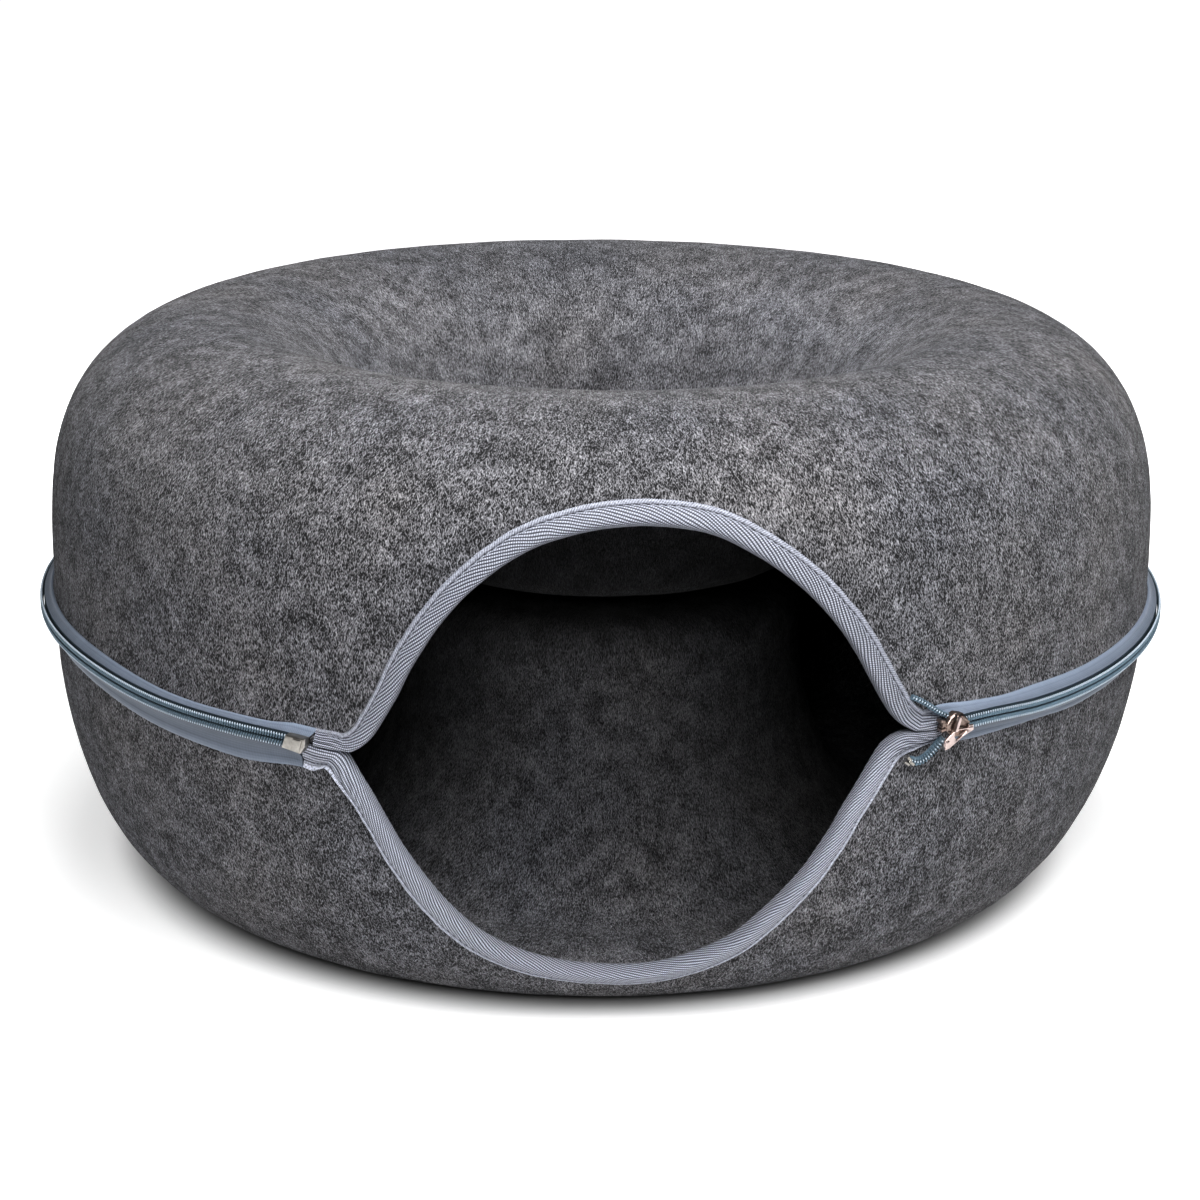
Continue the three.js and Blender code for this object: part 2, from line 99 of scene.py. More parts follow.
class Finish:
    def __init__(self, name):
        self.material = bpy.data.materials.new(name)
        self.material.use_nodes = True
        self.tree = self.material.node_tree
        self.tree.nodes.clear()

    def node(self, kind, settings=None, values=(), output=0):
        node = self.tree.nodes.new(kind)
        for name, setting in (settings or {}).items():
            setattr(node, name, setting)
        given = values.items() if isinstance(values, dict) else enumerate(values)
        for name, value in given:
            if isinstance(value, Socket):
                self.tree.links.new(value.socket, node.inputs[name])
            else:
                node.inputs[name].default_value = value
        return Socket(self, node.outputs[output]) if node.outputs else None

    def vector(self, operation, *values):
        return self.node("ShaderNodeVectorMath", {"operation": operation}, values)

    def length(self, vector):
        return self.node("ShaderNodeVectorMath", {"operation": "LENGTH"}, [vector], 1)

    def mix(self, factor, first, second, blend="MIX"):
        settings = {"data_type": "RGBA", "blend_type": blend}
        return self.node("ShaderNodeMix", settings, {0: factor, 6: first, 7: second}, 2)

    def tone(self, colour, share):
        """The colour with its channels multiplied by share."""
        grey = self.node("ShaderNodeCombineXYZ", None, [share] * 3)
        return self.mix(1.0, colour, grey, "MULTIPLY")

    def cloth(self, colour, roughness, height, depth, values=None):
        """A rough surface with this colour and a relief, depth metres deep."""
        bump = self.node("ShaderNodeBump", None, {"Distance": depth, "Height": height})
        given = {"Base Color": colour, "Roughness": roughness, "Normal": bump, **(values or {})}
        surface = self.node("ShaderNodeBsdfPrincipled", None, given)
        self.node("ShaderNodeOutputMaterial", None, {"Surface": surface})


# Studio: a white floor with a painted glow, though it is no lamp: it glows a little from just
# outside the bed's own shadow and more further out, so the tight edge of that shadow is painted.
# Soft lamps stand above the bed, in front of it and behind it. The tone is harder than plain.
bpy.ops.mesh.primitive_grid_add(x_subdivisions=4, y_subdivisions=4, size=40)
floor = bpy.context.object
floor.name = "studio_floor"
table = Finish("white floor with painted glow")
table_place = table.node("ShaderNodeTexCoord", output="Object")
# The painted glow's middle is set a little off the bed's axis, so its painted shadow edge is
# lighter to the right.
table_place = table.vector("ADD", table_place, (0.006, 0.004 - AXIS_Y, 0))
table_reach = table.length(table_place)


def painted_glow(near, far, strength):
    return table.node("ShaderNodeMapRange", {"interpolation_type": "SMOOTHSTEP"}, {
        "Value": table_reach,
        "From Min": near,
        "From Max": far,
        "To Max": strength,
    })


# Painted glow: none under the bed, a little from just outside its shadow, more further out.
painted_floor_glow = painted_glow(0.230, 0.267, 0.72) + painted_glow(0.5, 0.9, 0.33)
table.node("ShaderNodeOutputMaterial", None, {
    "Surface": table.node("ShaderNodeBsdfPrincipled", None, {
        "Base Color": (0.5, 0.5, 0.5, 1),
        "Roughness": 0.9,
        "Specular IOR Level": 0.1,
        "Emission Color": table.node("ShaderNodeCombineXYZ", None, [painted_floor_glow] * 3),
        "Emission Strength": 1.0,
    }),
})
floor.data.materials.append(table.material)


def lamp(name, place, size, power):
    bpy.ops.object.light_add(type="AREA", location=place)
    light = bpy.context.object
    light.name = name
    light.visible_camera = False
    light.data.size = size
    light.data.energy = power
    light.rotation_euler = (Vector(place) - aim).to_track_quat("Z", "Y").to_euler()


lamp("lamp_above", (0, -0.03, 1.64), 0.9, 22)
lamp("lamp_front", (0.30, -0.94, 1.29), 0.7, 16)
lamp("lamp_low", (0, -1.3, 0.89), 0.6, 8)
lamp("lamp_behind", (0, 1.3, 0.89), 0.7, 5)
room = bpy.data.worlds.new("room")
room.use_nodes = True
room.node_tree.nodes["Background"].inputs["Color"].default_value = (1, 1, 1, 1)
room.node_tree.nodes["Background"].inputs["Strength"].default_value = 0.03
bpy.context.scene.world = room
bpy.context.scene.view_settings.view_transform = "Standard"
bpy.context.scene.view_settings.gamma = 0.667


# Felt halves: each is one sheet of 4.5 mm polyester felt, pressed over a round mould. The upper
# one has the nest in its middle, the lower one the base ring and a hump, and the mouth is cut
# out of the front of both. A half is drawn by the angle from the mouth and the length from the
# zip, along the felt.
FELT = 0.0045
HEIGHT = 0.285
SEAM_Z = 0.1404
WALL_R = 0.292
FELT_CORNER_R = 0.0155
nest_r = 0.113
nest_floor_z = 0.160
base_outer_r = 0.2305
base_inner_r = 0.175
hump_r = 0.105
hump_z = 0.1365
rim_gap = 0.0002
lip_gap = 0.0015
rim_flare = 0.004
rim_flare_height = 0.008
zip_starts = (24.7, 28.5)
edge_closes = (28.5, 31)
seam_fade = 0.045


def arc(count, point):
    """Points of a curve from its start to its end, a quarter turn later."""
    return [point(0.5 * math.pi * i / count) for i in range(count + 1)]


def wall(end_r, end_z, rise_power, across_power):
    """The outer wall's (radius, height) profile, from the seam up or down to its end."""
    def point(turn):
        rise = math.sin(turn)
        across = max(0, 1 - rise ** rise_power) ** (1 / across_power)
        return end_r + (WALL_R - end_r) * across, SEAM_Z + (end_z - SEAM_Z) * rise
    return arc(160, point)


def nest_profile(crown_r):
    """From the crown's top down into the nest, round its corner and to the middle."""
    bend_z = nest_floor_z + FELT_CORNER_R
    down = arc(80, lambda turn: (
        crown_r - (crown_r - nest_r) * math.sin(turn),
        bend_z + (HEIGHT - bend_z) * math.cos(turn),
    ))
    corner = arc(16, lambda turn: (
        nest_r - FELT_CORNER_R * (1 - math.cos(turn)),
        bend_z - FELT_CORNER_R * math.sin(turn),
    ))
    return down[1:] + corner[1:] + [(0, nest_floor_z)]


def base_profile():
    """From the base ring's outer edge inwards, up the hump and to the middle."""
    bend_z = hump_z - FELT_CORNER_R
    up = arc(80, lambda turn: (
        base_inner_r - (base_inner_r - hump_r) * math.sin(turn),
        bend_z * (1 - math.cos(turn)),
    ))
    corner = arc(16, lambda turn: (
        hump_r - FELT_CORNER_R * (1 - math.cos(turn)),
        bend_z + FELT_CORNER_R * math.sin(turn),
    ))
    return [(base_inner_r, 0)] + up[1:] + corner[1:] + [(0, hump_z)]


def eased(low, high, value):
    """0 at low, 1 at high and smooth in between."""
    part = min(1, max(0, (value - low) / (high - low)))
    return part * part * (3 - 2 * part)


def spline(table, value):
    """The height of a smooth curve through (place, height) pairs with rising places."""
    at = min(max(value, table[0][0]), table[-1][0])
    i = max(1, next(k for k, row in enumerate(table) if row[0] >= at))

    def slope(k):
        if k in (0, len(table) - 1):
            return 0
        return (table[k + 1][1] - table[k - 1][1]) / (table[k + 1][0] - table[k - 1][0])

    (a, low), (b, high) = table[i - 1], table[i]
    t = (at - a) / (b - a)
    return ((2 * t**3 - 3 * t**2 + 1) * low + (t**3 - 2 * t**2 + t) * (b - a) * slope(i - 1)
            + (3 * t**2 - 2 * t**3) * high + (t**3 - t**2) * (b - a) * slope(i))


# The seam isn't quite level: it dips into the mouth's left corner and rises at its right one.
seam_rise = [
    (-180, -0.0003), (-65, 0), (-57, -0.0005), (-46, -0.0022), (-36, -0.0020), (-31, -0.0020),
    (-29, -0.0032), (-26.5, -0.0046), (-25, -0.0053), (-23.5, -0.0045), (-21, -0.0020), (-18, 0),
    (18, 0), (21, 0.0010), (24, 0.0018), (26, 0.0020), (28, 0.0020), (29.5, 0.0028),
    (31, 0.0037), (34, 0.0036), (37, 0.0026), (40, 0.0014), (46, 0.0004), (54, 0), (180, -0.0003),
]


class Half:
    """The outer face of a felt half, by the angle from the mouth and the length from the zip."""

    def __init__(self, profile, side, lean, lip):
        self.profile = profile
        self.side = side
        self.lean = lean
        self.lip_table = lip
        steps = [math.dist(a, b) for a, b in zip(profile, profile[1:])]
        self.along = [0, *accumulate(steps)]
        self.length = self.along[-1]

    def at_height(self, height):
        for i, (_, z) in enumerate(self.profile):
            if abs(z - SEAM_Z) >= height:
                break
        if i < 1:
            return 0
        before = abs(self.profile[i - 1][1] - SEAM_Z)
        after = abs(self.profile[i][1] - SEAM_Z)
        part = (height - before) / (after - before)
        return self.along[i - 1] + (self.along[i] - self.along[i - 1]) * part

    def at(self, length):
        i, high = 1, len(self.along) - 1
        while i < high:
            middle = (i + high) // 2
            if self.along[middle] > length:
                high = middle
            else:
                i = middle + 1
        (r0, z0), (r1, z1) = self.profile[i - 1], self.profile[i]
        step = self.along[i] - self.along[i - 1]
        part = (length - self.along[i - 1]) / step
        out = Vector((self.side * (z1 - z0), -self.side * (r1 - r0))) / step
        return r0 + (r1 - r0) * part, z0 + (z1 - z0) * part, out

    def point(self, angle, length, off=0):
        """A point off the felt's face, with the flare of the rim and the rise of the seam."""
        near = 0.002
        r, z, out = self.at(length)
        out = out + self.at(max(0, length - near))[2]
        out = (out + self.at(min(self.length, length + near))[2]).normalized()
        zipped = eased(*zip_starts, abs(angle))
        on_wall = r > base_outer_r
        if on_wall:
            r += rim_flare * zipped * max(0, 1 - abs(z - SEAM_Z) / rim_flare_height)
        r = max(0, r + off * out.x)
        z += off * out.y
        turn = math.radians(angle)
        lean = self.lean * (z - SEAM_Z)
        if on_wall:
            z += spline(seam_rise, angle) * max(0, 1 - ((z - SEAM_Z) / seam_fade) ** 2)
        return Vector((r * math.sin(turn) + lean, AXIS_Y - r * math.cos(turn), z))

    def lip(self, angle):
        """The length at which the felt's edge lies: the mouth's, or else the rim's at the zip."""
        closed = eased(*edge_closes, abs(angle))
        least = lip_gap + (rim_gap - lip_gap) * closed
        return self.at_height(max(least, spline(self.lip_table, angle)))


upper_lip = [
    (-27, 0), (-25.7, 0.0010), (-24.7, 0.0026), (-23.5, 0.0070), (-22.6, 0.0128),
    (-21.7, 0.0194), (-20.93, 0.0254), (-19.91, 0.0354), (-18.77, 0.0450), (-17.5, 0.0554),
    (-16.15, 0.0646), (-14.8, 0.0726), (-13.25, 0.0800), (-11.65, 0.0867), (-9.98, 0.0922),
    (-8.18, 0.0968), (-6.36, 0.0999), (-4.57, 0.1023), (-2.68, 0.1041), (-0.89, 0.1050),
    (0.99, 0.1055), (2.78, 0.1051), (4.72, 0.1041), (6.81, 0.1021), (8.7, 0.0987),
    (10.55, 0.0937), (12.46, 0.0877), (14.26, 0.0808), (16.07, 0.0727), (17.73, 0.0636),
    (19.41, 0.0529), (20.77, 0.0423), (22.11, 0.0299), (23.3, 0.0190), (24.3, 0.0110),
    (25.2, 0.0056), (26.2, 0.0020), (27.2, 0),
]
lower_lip = [
    (-27.4, 0), (-26.4, 0.0012), (-25.7, 0.0037), (-24.97, 0.0098), (-23.51, 0.0226),
    (-22.36, 0.0348), (-21.17, 0.0472), (-19.9, 0.0576), (-18.52, 0.0678), (-17.2, 0.0767),
    (-15.51, 0.0865), (-13.63, 0.0953), (-11.4, 0.1024), (-9.11, 0.1077), (-6.72, 0.1114),
    (-4.51, 0.1136), (-1.91, 0.1149), (0.5, 0.1156), (2.91, 0.1151), (5.21, 0.1130),
    (7.49, 0.1089), (9.69, 0.1036), (11.8, 0.0962), (13.51, 0.0868), (14.98, 0.0781),
    (16.18, 0.0703), (17.45, 0.0612), (18.38, 0.0526), (19.47, 0.0423), (20.31, 0.0333),
    (21.33, 0.0245), (22.5, 0.0142), (23.5, 0.0066), (24.4, 0.0034), (25.5, 0.0015), (26.6, 0),
]
crown_r = 0.206
upper = Half(wall(crown_r, HEIGHT, 3.88, 1.85) + nest_profile(crown_r), 1, 0, upper_lip)
lower = Half(wall(base_outer_r, 0, 1.965, 1.965) + base_profile(), -1, 0.031, lower_lip)


def grid(name, columns, rows, place, *layers):
    """A grid of columns by rows: place(i, j) gives a point and its place in each UV layer."""
    bpy.ops.object.select_all(action="DESELECT")
    bpy.ops.mesh.primitive_grid_add(x_subdivisions=columns, y_subdivisions=rows, size=2)
    piece = bpy.context.object
    piece.name = name
    piece.data.name = name
    piece.data.uv_layers[0].name = layers[0]
    for layer in layers[1:]:
        piece.data.uv_layers.new(name=layer)
    laid = []
    for vertex in piece.data.vertices:
        i = round((vertex.co.x + 1) / 2 * columns)
        j = round((vertex.co.y + 1) / 2 * rows)
        laid.append(place(i, j))
    for vertex, (point, *_) in zip(piece.data.vertices, laid):
        vertex.co = point
    for k, layer in enumerate(layers):
        chart = piece.data.uv_layers[layer].data
        for loop in piece.data.loops:
            chart[loop.index].uv = laid[loop.vertex_index][k + 1]
    return piece


def choose(piece):
    bpy.ops.object.select_all(action="DESELECT")
    piece.select_set(True)
    bpy.context.view_layer.objects.active = piece


def edit(piece):
    choose(piece)
    bpy.ops.object.mode_set(mode="EDIT")
    bpy.ops.mesh.select_all(action="SELECT")


def weld(piece, gap=1e-5):
    edit(piece)
    bpy.ops.mesh.remove_doubles(threshold=gap)
    bpy.ops.object.mode_set(mode="OBJECT")


def modify(piece, kind, **settings):
    choose(piece)
    change = piece.modifiers.new(kind.lower(), kind)
    for name, setting in settings.items():
        setattr(change, name, setting)
    bpy.ops.object.modifier_apply(modifier=change.name)


def smooth(piece, angle=60):
    choose(piece)
    bpy.ops.object.shade_smooth_by_angle(angle=math.radians(angle))


def spread(low, high, step):
    count = max(1, round((high - low) / step))
    return [low + (high - low) * i / count for i in range(count)]


def felt_half(name, half, node):
    front, fine, coarse = 31.5, 0.75, 2.0625
    angles = [*spread(-180, -front, coarse), *spread(-front, front, fine),
              *spread(front, 180, coarse), 180]
    rows = 92
    lips = [half.lip(angle) for angle in angles]

    def place(i, j):
        angle, lip = angles[i], lips[i]
        length = lip + (half.length - lip) * (j / rows)
        point = half.point(angle, length)
        still = eased(0.012, 0.03, length - lip)
        swell = 0.00028 * noise.noise(point * 38) + 0.00014 * noise.noise(point * 110)
        if 0 < j < rows:
            point = half.point(angle, length, swell * still)
        return point, (angle / 360, length)

    piece = grid(name, len(angles) - 1, rows, place, "felt")
    weld(piece)
    if half.side < 0:
        piece.data.flip_normals()
    piece.data.materials.append(felt.material)
    # The felt's inner side gets a copy of the felt with painted light low in the tunnel and
    # painted shade under the nest.
    piece.data.materials.append(painted_inner_felt)
    modify(piece, "SOLIDIFY", thickness=FELT, offset=-1, use_even_offset=True, material_offset=1)
    smooth(piece, 50)
    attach(piece, "root")
    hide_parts(node)
    return piece


felt = Finish("grey felt")
felt_place = felt.node("ShaderNodeTexCoord", output="Object")
felt_run = felt.node("ShaderNodeUVMap", {"uv_map": "felt"})
felt_run = felt.node("ShaderNodeSeparateXYZ", None, [felt_run], 1)
round_r = 0.25
around = felt.vector("ADD", felt_place, (0, -AXIS_Y, 0))
around = felt.vector("NORMALIZE", felt.vector("MULTIPLY", around, (1, 1, 0)))
around = felt.node("ShaderNodeVectorMath", {"operation": "SCALE"}, {0: around, "Scale": round_r})


def fibres(lean, thin, stretch, detail=0):
    turned = felt.node("ShaderNodeVectorRotate", {"rotation_type": "Z_AXIS"}, {
        "Vector": around,
        "Angle": felt_run * (math.tan(math.radians(lean)) / round_r),
    })
    run = felt.node("ShaderNodeCombineXYZ", None, {"Z": felt_run * stretch})
    return felt.node("ShaderNodeTexNoise", None, {
        "Vector": felt.vector("ADD", turned, run),
        "Scale": thin,
        "Detail": detail,
        "Roughness": 0.5,
    })


crumb = fibres(3, 2100, 0.45)
left_lying = fibres(-26, 1750, 0.28)
right_lying = fibres(23, 1750, 0.28)
combed = fibres(-4, 1700, 0.22)
clumps = felt.node("ShaderNodeTexNoise", None, {"Vector": felt_place, "Scale": 95, "Detail": 3})
fields = felt.node("ShaderNodeTexNoise", None, {"Vector": felt_place, "Scale": 13, "Detail": 2})
hair = left_lying.sum("MAXIMUM", left_lying, right_lying)
hair = hair.sum("MAXIMUM", hair, combed)
pile = (crumb - 0.5) * 1.3 + (hair - 0.6) * 1.9 + (clumps - 0.5) * 0.8
melange = 1.02 + pile * 2.9 + (fields - 0.5) * 0.5
melange = melange.sum("MAXIMUM", melange, 0.24)
spot = felt.node("ShaderNodeSeparateXYZ", None, [felt_place], 2)
from_middle = felt.vector("MULTIPLY", felt.vector("ADD", felt_place, (0, -AXIS_Y, 0)), (1, 1, 0))
from_middle = felt.length(from_middle)
# Painted light: the felt in the nest, near the middle and above 0.15 m, is drawn up to 1.48 times
# as bright.
painted_nest_light = felt.node("ShaderNodeMapRange", {"interpolation_type": "SMOOTHSTEP"}, {
    "Value": from_middle, "From Min": 0.19, "From Max": 0.135})
painted_nest_light = painted_nest_light * felt.node("ShaderNodeMapRange", None, {
    "Value": spot, "From Min": 0.15, "From Max": 0.155})
# Painted light and shade on the inner side: this level is 1 on the outer side, and the inner
# side's copy makes it 1.45 times as bright low in the tunnel, falling to 0.3 times under the
# nest.
painted_inside_light = felt.node("ShaderNodeMapRange", None, {
    "Value": spot, "From Min": 0.12, "From Max": 0.165, "To Min": 1, "To Max": 1})
melange = melange * (1 + painted_nest_light * 0.48) * painted_inside_light
felt_tint = felt.mix(fields, (0.134, 0.138, 0.154, 1), (0.147, 0.142, 0.143, 1))
felt.cloth(felt.tone(felt_tint, melange), 0.95, pile, 0.0005, {
    "Specular IOR Level": 0.2,
    "Sheen Weight": 0.12,
    "Sheen Roughness": 0.5,
})
# The felt's inner side: a copy with painted light low in the tunnel and painted shade under the
# nest.
painted_inner_felt = felt.material.copy()
painted_inner_felt.name = "grey felt, inner side with painted light and shade"
inside_light_node = painted_inner_felt.node_tree.nodes[painted_inside_light.socket.node.name]
inside_light_node.inputs["To Min"].default_value = 1.45
inside_light_node.inputs["To Max"].default_value = 0.3
upper_felt = felt_half("upper_felt", upper, "upper_shell")
lower_felt = felt_half("lower_felt", lower, "lower_shell")


# Mouth binding: a twill tape, folded in half over each felt edge and sewn through with one row
# of stitches. Its width varies along the mouth, its ribs bunch in the corners, and its ends go in
# under the zip.
BINDING_THICK = 0.001
BINDING_WIDTH = 0.0097
upper_width = [
    (-28.2, 0.0062), (-26, 0.0072), (-23, 0.0082), (-20, 0.0086), (-15, 0.0090), (-8, 0.0095),
    (0, 0.0097), (10, 0.0096), (17, 0.0094), (23, 0.0092), (25.5, 0.0092), (27.4, 0.0082),
    (28.7, 0.0062),
]
lower_width = [
    (-29.5, 0.0126), (-28, 0.0121), (-26.8, 0.0119), (-25.8, 0.0112), (-25, 0.0099),
    (-24.2, 0.0084), (-23.3, 0.0074), (-22, 0.0072), (-18, 0.0084),
    (-12, 0.0080), (-8, 0.0074), (-4, 0.0068), (3, 0.0068), (8, 0.0074), (14, 0.0078),
    (20, 0.0077), (23, 0.0084), (25.5, 0.0084), (28.2, 0.0056),
]
upper_bound = (-28.2, 28.7)
lower_bound = (-29.5, 28.7)
corner_angles = (21.5, 27.6)
bend_angles = (20.5, 24.5)
binding_gap = 0.0005
ring_step = 0.00055
rib_slant = 0.42
selvage_step = 0.00016
pucker_pitch = 0.0021
pucker_deep = 0.00032
stitch_start = 0.008
stitch_pitch = 0.0034
stitch_in = 0.0033


def level(table, value):
    """The height of a polyline of (place, height) pairs with rising places."""
    for (x0, y0), (x1, y1) in zip(table, table[1:]):
        if value <= x1:
            return y0 + (y1 - y0) * (value - x0) / (x1 - x0)
    return table[-1][1]


binding_face = [(0, 0.0018), (0.2, 0.0020), (0.45, 0.0020), (0.58, 0.0018), (0.65, 0.00145),
                (0.69, 0.00105), (0.74, 0.00120), (0.84, 0.0016), (0.94, 0.00145), (1, 0.0008)]
face_count = 26


def binding_section(width, puckered, place):
    """Points round the folded tape: into is the way from the fold, off is out of the felt."""
    out = binding_gap + BINDING_THICK
    inner = -FELT - binding_gap
    nose = -binding_gap - BINDING_THICK
    face = [(0.99 * width, 0.0004)]
    for i in range(face_count + 1):
        part = 1 - i / face_count
        across = (1 - part) * BINDING_WIDTH
        off = level(binding_face, part)
        shift = 3 * noise.noise(Vector((place * 60, 0, 2)))
        gather = math.sin(across * 2 * math.pi / pucker_pitch + shift)
        off += pucker_deep * puckered * gather * min(1, 6 * part) * min(1, 9 * (1 - part))
        face.append((part * width, off))
    fold = [(nose * 0.55, out * 0.8), (nose * 0.9, 0.0001),
            (nose, -FELT * 0.3), (nose, -FELT * 0.7), (nose * 0.9, inner - 0.0001),
            (nose * 0.5, inner - 0.0008), (0, inner - BINDING_THICK)]
    back = [(0.25, inner - 0.0013), (0.5, inner - 0.0013), (0.72, inner - 0.0009),
            (0.84, inner - 0.001), (0.86, inner - 0.0005), (0.84, inner)]
    inside = [(0.4, inner), (-0.0001 / width, inner), (-0.0004 / width, -FELT * 0.5),
              (-0.0001 / width, binding_gap), (0.4, binding_gap), (0.8, binding_gap)]
    return face + fold + [(into * width, off) for into, off in back + inside]


def close_ends(piece):
    """Fill the open ends of the piece that is being worked on, and turn its faces outwards."""
    bpy.ops.object.mode_set(mode="EDIT")
    bpy.ops.mesh.select_all(action="DESELECT")
    bpy.ops.mesh.select_mode(type="EDGE")
    bpy.ops.mesh.select_non_manifold()
    bpy.ops.mesh.fill_holes(sides=0)
    bpy.ops.mesh.select_all(action="SELECT")
    bpy.ops.mesh.normals_make_consistent(inside=False)
    bpy.ops.object.mode_set(mode="OBJECT")


class Edge:
    """The run of a bound felt edge, and what the binding does at each place along it."""

    def __init__(self, half, ends, step):
        fine = spread(ends[0], ends[1], 0.1) + [ends[1]]
        edge = [half.point(angle, half.lip(angle)) for angle in fine]
        run = [0, *accumulate((b - a).length for a, b in zip(edge, edge[1:]))]
        self.half = half
        self.fine = fine
        self.run = run
        self.count = round(run[-1] / step)
        self.k = 0

    def angle(self, at):
        at = min(self.run[-1], max(0, at))
        if self.run[self.k] > at:
            self.k = 0
        while self.k < len(self.run) - 2 and self.run[self.k + 1] < at:
            self.k += 1
        k = self.k
        part = (at - self.run[k]) / (self.run[k + 1] - self.run[k])
        return self.fine[k] + (self.fine[k + 1] - self.fine[k]) * part

    def spot(self, at):
        """At a run: point(into, off) across the edge, the tape's width and how near a corner."""
        half, angle = self.half, self.angle(at)
        length = half.lip(angle)
        degree = math.radians(1) * half.at(length)[0]
        corner = eased(*corner_angles, abs(angle))
        reach = 0.4 + 2.2 * eased(*bend_angles, abs(angle))
        slope = (half.lip(angle + reach) - half.lip(angle - reach)) / (2 * reach * degree)
        size = math.hypot(slope, 1)
        width = spline(upper_width if half.side > 0 else lower_width, angle)
        width += 0.0003 * noise.noise(Vector((at * 130, half.side * 5, 0))) * (1 - corner)

        def point(into, off):
            side = -into * slope / size / degree
            return half.point(angle + side, length + into / size, off)

        return point, width, corner


def bind(name, half, ends, node):
    edge = Edge(half, ends, ring_step)
    rings = []
    slant = 0
    for i in range(edge.count + 1):
        at = edge.run[-1] * i / edge.count
        point, width, corner = edge.spot(at)
        slant += rib_slant * (1 - corner) * edge.run[-1] / edge.count
        selvage = selvage_step * (1, -1)[i % 2]
        section = binding_section(width, corner, at)
        ring = []
        across = 0
        for j, (into, off) in enumerate(section + section[:1]):
            if j:
                before = section[j - 1]
                across += math.dist(before, (into, off)) * (BINDING_WIDTH / width) ** 0.8
            if j % len(section) < 2:
                into += selvage
            rib = across - half.side * slant
            ring.append((point(into, off), (rib, at), (at, across)))
        rings.append(ring)
    piece = grid(name, edge.count, len(rings[0]) - 1, lambda i, j: rings[i][j], "ribs", "tape")
    weld(piece)
    close_ends(piece)
    smooth(piece, 50)
    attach(piece, "root")
    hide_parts(node)
    return piece, edge.run[-1]


def lay(piece, route):
    """Bend a straight strip: route(x) gives a point, the way across the strip and the way out."""
    places = {}
    for vertex in piece.data.vertices:
        x = round(vertex.co.x, 5)
        if x not in places:
            places[x] = route(vertex.co.x)
        point, across, out = places[x]
        vertex.co = point + vertex.co.y * across + vertex.co.z * out


def sewing(count, start, y, bead, pitch, rise, turn=0.0):
    """A straight row of thread beads along X, each of the half sizes given by bead."""
    bpy.ops.object.select_all(action="DESELECT")
    bpy.ops.mesh.primitive_uv_sphere_add(segments=6, ring_count=5, radius=1)
    piece = bpy.context.object
    for vertex in piece.data.vertices:
        x, across, out = vertex.co.z * bead[0], vertex.co.x * bead[1], vertex.co.y * bead[2]
        vertex.co = (start + x, y + across + turn * x, rise + out)
    modify(piece, "ARRAY", count=count, use_relative_offset=False, use_constant_offset=True,
           constant_offset_displace=(pitch, 0, 0))
    edit(piece)
    bpy.ops.mesh.normals_make_consistent(inside=False)
    bpy.ops.object.mode_set(mode="OBJECT")
    return piece


def stitches(name, half, ends, node):
    edge = Edge(half, ends, 0.0012)
    count = int((edge.run[-1] - 2 * stitch_start) / stitch_pitch)
    piece = sewing(count, stitch_start, 0, (0.00125, 0.00026, 0.00026), stitch_pitch, 0)
    piece.name = name
    piece.data.name = name

    def route(x):
        point, width, corner = edge.spot(x)
        into = width * (1 - stitch_in / BINDING_WIDTH)
        off = level(binding_face, into / width) + 0.00008
        middle = point(into, off)
        along = (edge.spot(x + 0.001)[0](into, off) - middle).normalized()
        out = (point(into, off + 0.001) - middle).normalized()
        return middle, out.cross(along).normalized(), out

    lay(piece, route)
    smooth(piece, 60)
    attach(piece, "root")
    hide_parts(node)
    return piece


twill = Finish("twill tape")
height = twill.node("ShaderNodeTexCoord", output="Object")
height = twill.node("ShaderNodeSeparateXYZ", None, [height], 2)
ribs_run = twill.node("ShaderNodeUVMap", {"uv_map": "ribs"})
rib_across = twill.node("ShaderNodeSeparateXYZ", None, [ribs_run], 0)
twill_along = twill.node("ShaderNodeSeparateXYZ", None, [ribs_run], 1)
tape_run = twill.node("ShaderNodeUVMap", {"uv_map": "tape"})
tape_across = twill.node("ShaderNodeSeparateXYZ", None, [tape_run], 1)
wobble = twill.node("ShaderNodeTexNoise", None, {"Vector": ribs_run, "Scale": 55, "Detail": 1})
rib_pitch = 0.00155
rib = (rib_across + (wobble - 0.5) * 0.003) * (2 * math.pi / rib_pitch)
rib = rib.sum("SINE", rib) * 0.5 + 0.5
rib = 1 - (1 - rib) ** 1.6
pick_pitch = 0.00095
pick = (twill_along + rib_across * 0.5) * (2 * math.pi / pick_pitch)
pick = pick.sum("SINE", pick) * 0.5 + 0.5


def band(low, high, edge):
    """One between two distances from the tape's outer edge, falling to nothing outside them."""
    inside = twill.node("ShaderNodeMapRange", {"interpolation_type": "SMOOTHSTEP"}, {
        "Value": tape_across, "From Min": low - edge, "From Max": low})
    outside = twill.node("ShaderNodeMapRange", {"interpolation_type": "SMOOTHSTEP"}, {
        "Value": tape_across, "From Min": high, "From Max": high + edge})
    return inside * (1 - outside)


